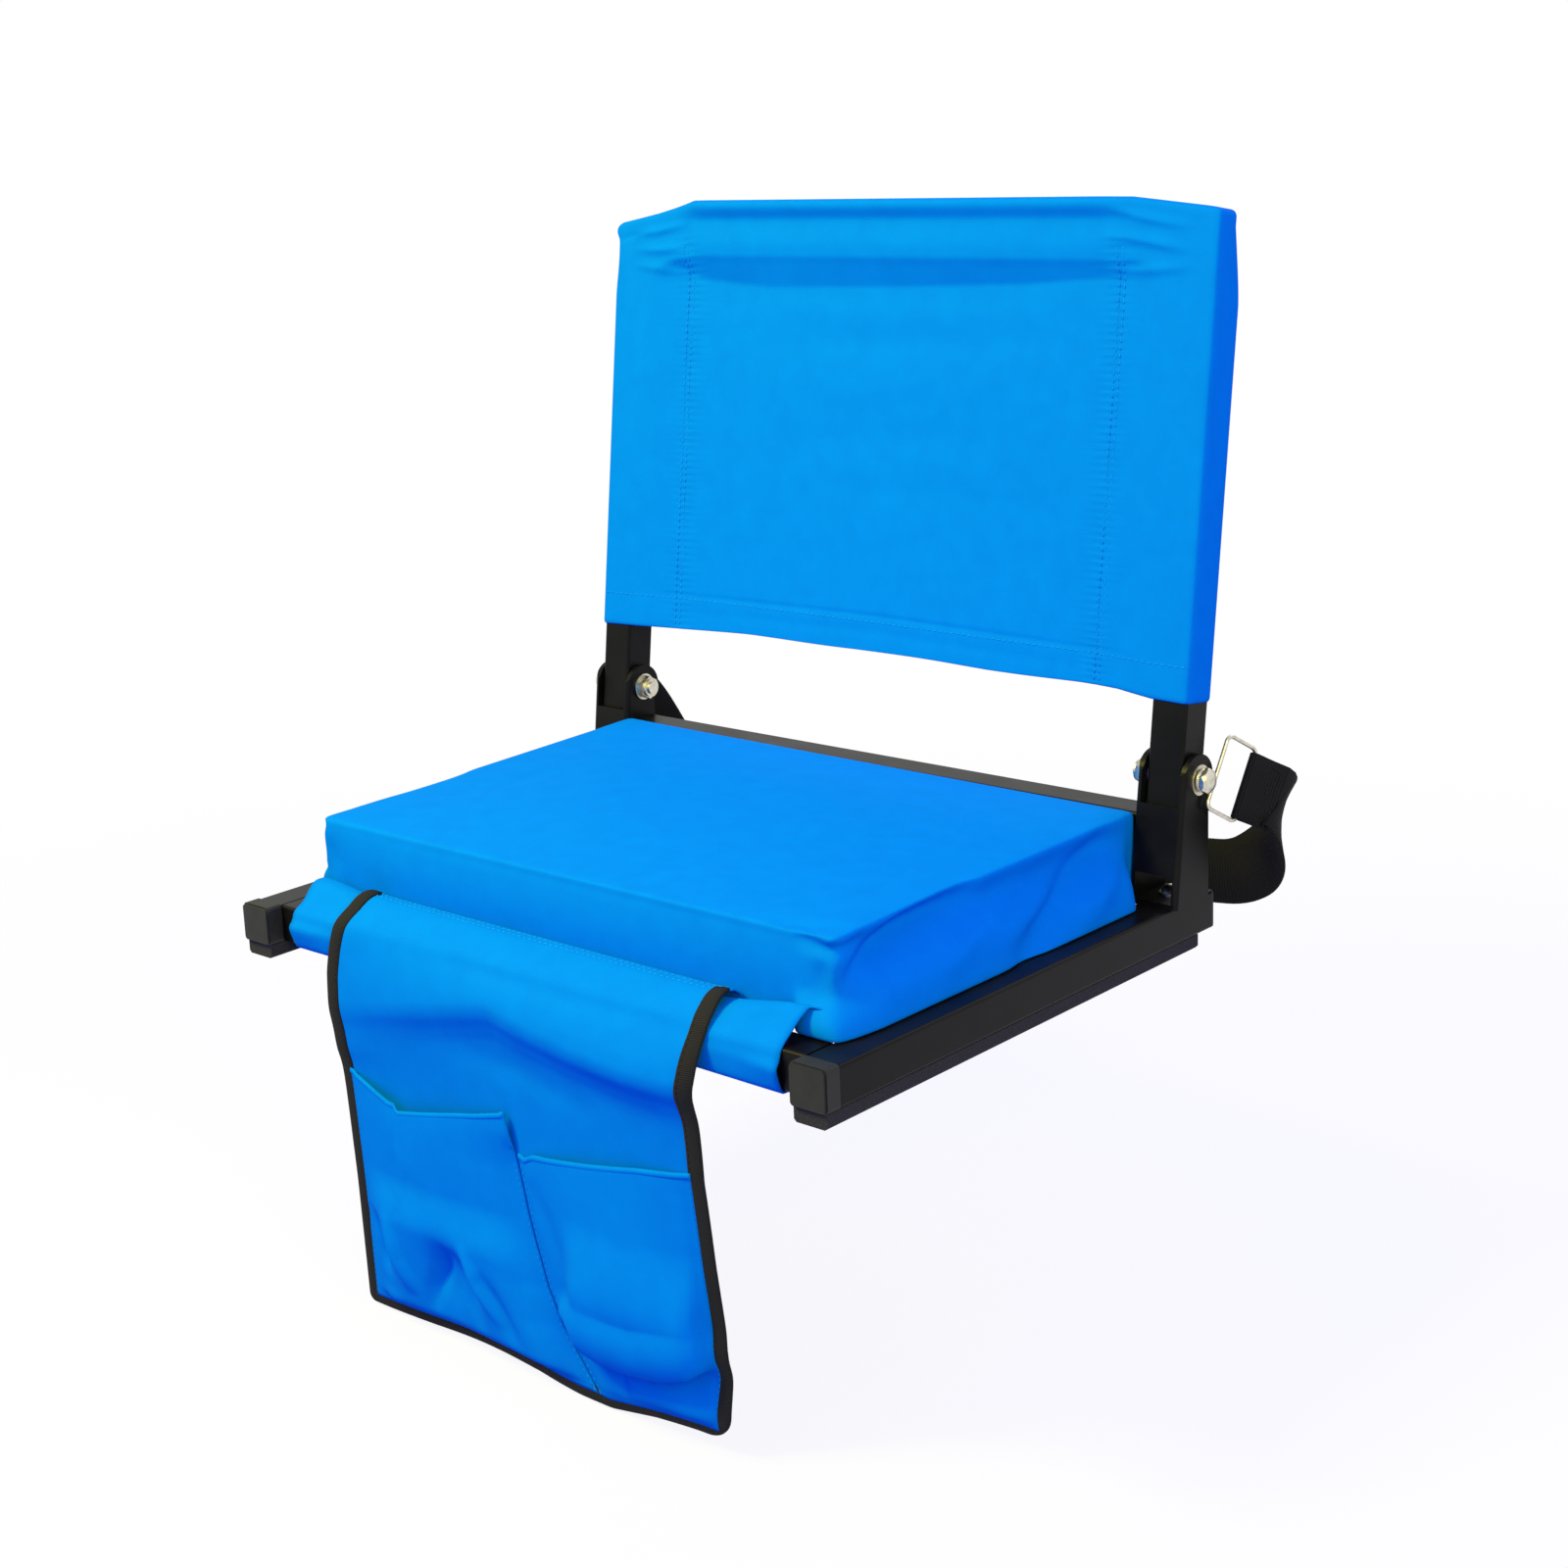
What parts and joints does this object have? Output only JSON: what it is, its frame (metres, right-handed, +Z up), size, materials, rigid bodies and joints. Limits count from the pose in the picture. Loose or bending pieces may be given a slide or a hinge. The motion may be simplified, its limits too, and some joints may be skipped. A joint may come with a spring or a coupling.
{
  "type": "folding bleacher seat",
  "caption": "Folding bleacher seat: steel runner frame, padded cushion on a sling, reclined folding back, hanging pocket flap and a carry strap on wire rings.",
  "frame": {"origin": "on the bench top, at the middle of the footprint of the two runner rails", "axes": "+X to the right of someone looking at the seat's front, +Y backwards from the front, +Z up"},
  "size_m": [0.5174, 0.3872, 0.6123],
  "materials": {
    "tube_paint": "gloss black powder coat",
    "bracket_paint": "gloss black powder coat",
    "cap_plastic": "matte moulded",
    "runner_foam": "matte closed-cell strip",
    "zinc_plate": "bright zinc plated",
    "nylon": "natural moulded nylon",
    "sling_cloth": "plain-weave polyester",
    "cushion_cloth": "plain-weave polyester",
    "back_cloth": "plain-weave polyester",
    "flap_cloth": "plain-weave polyester",
    "binding_tape": "grosgrain tape",
    "hook_tape": "hook-and-loop tape",
    "webbing": "ribbed polypropylene webbing"
  },
  "bodies": {
    "seat_base": {"left_rail": "tube_paint", "right_rail": "tube_paint", "front_tube": "tube_paint", "rear_tube": "tube_paint", "brace_bar": "tube_paint", "left_front_cap": "cap_plastic", "right_front_cap": "cap_plastic", "left_rear_plug": "cap_plastic", "right_rear_plug": "cap_plastic", "left_runner": "runner_foam", "right_runner": "runner_foam", "left_bracket": "bracket_paint", "right_bracket": "bracket_paint", "pivot_bolts": "zinc_plate", "pivot_nuts": "zinc_plate", "steel_washers": "zinc_plate", "nylon_washers": "nylon", "foot_bolts": "zinc_plate", "foot_washers": "zinc_plate", "foot_nuts": "zinc_plate", "seat_sling": "sling_cloth", "hook_strips": "hook_tape", "seat_cushion": "cushion_cloth", "flap_tuck": "flap_cloth"},
    "backrest": {"back_frame": "tube_paint", "upright_plugs": "cap_plastic", "back_cover": "back_cloth"},
    "pocket_flap": {"flap_panel": "flap_cloth", "flap_binding": "binding_tape", "left_pocket": "flap_cloth", "right_pocket": "flap_cloth"},
    "carry_sling": {"left_ring": "zinc_plate", "right_ring": "zinc_plate", "carry_strap": "webbing"}
  },
  "joints": [
    {"name": "back_fold", "type": "hinge", "parent": "seat_base", "child": "backrest", "pos_m": [0, 0.1475, 0.099], "axis": [1, 0, 0], "range_deg": [0, 97]},
    {"name": "flap_swing", "type": "hinge", "parent": "seat_base", "child": "pocket_flap", "pos_m": [0, -0.1581, 0.0045], "axis": [1, 0, 0], "range_deg": [-90, 60]},
    {"name": "strap_swing", "type": "hinge", "parent": "seat_base", "child": "carry_sling", "pos_m": [0, 0.1475, 0.099], "axis": [1, 0, 0], "range_deg": [0, 100]}
  ]
}
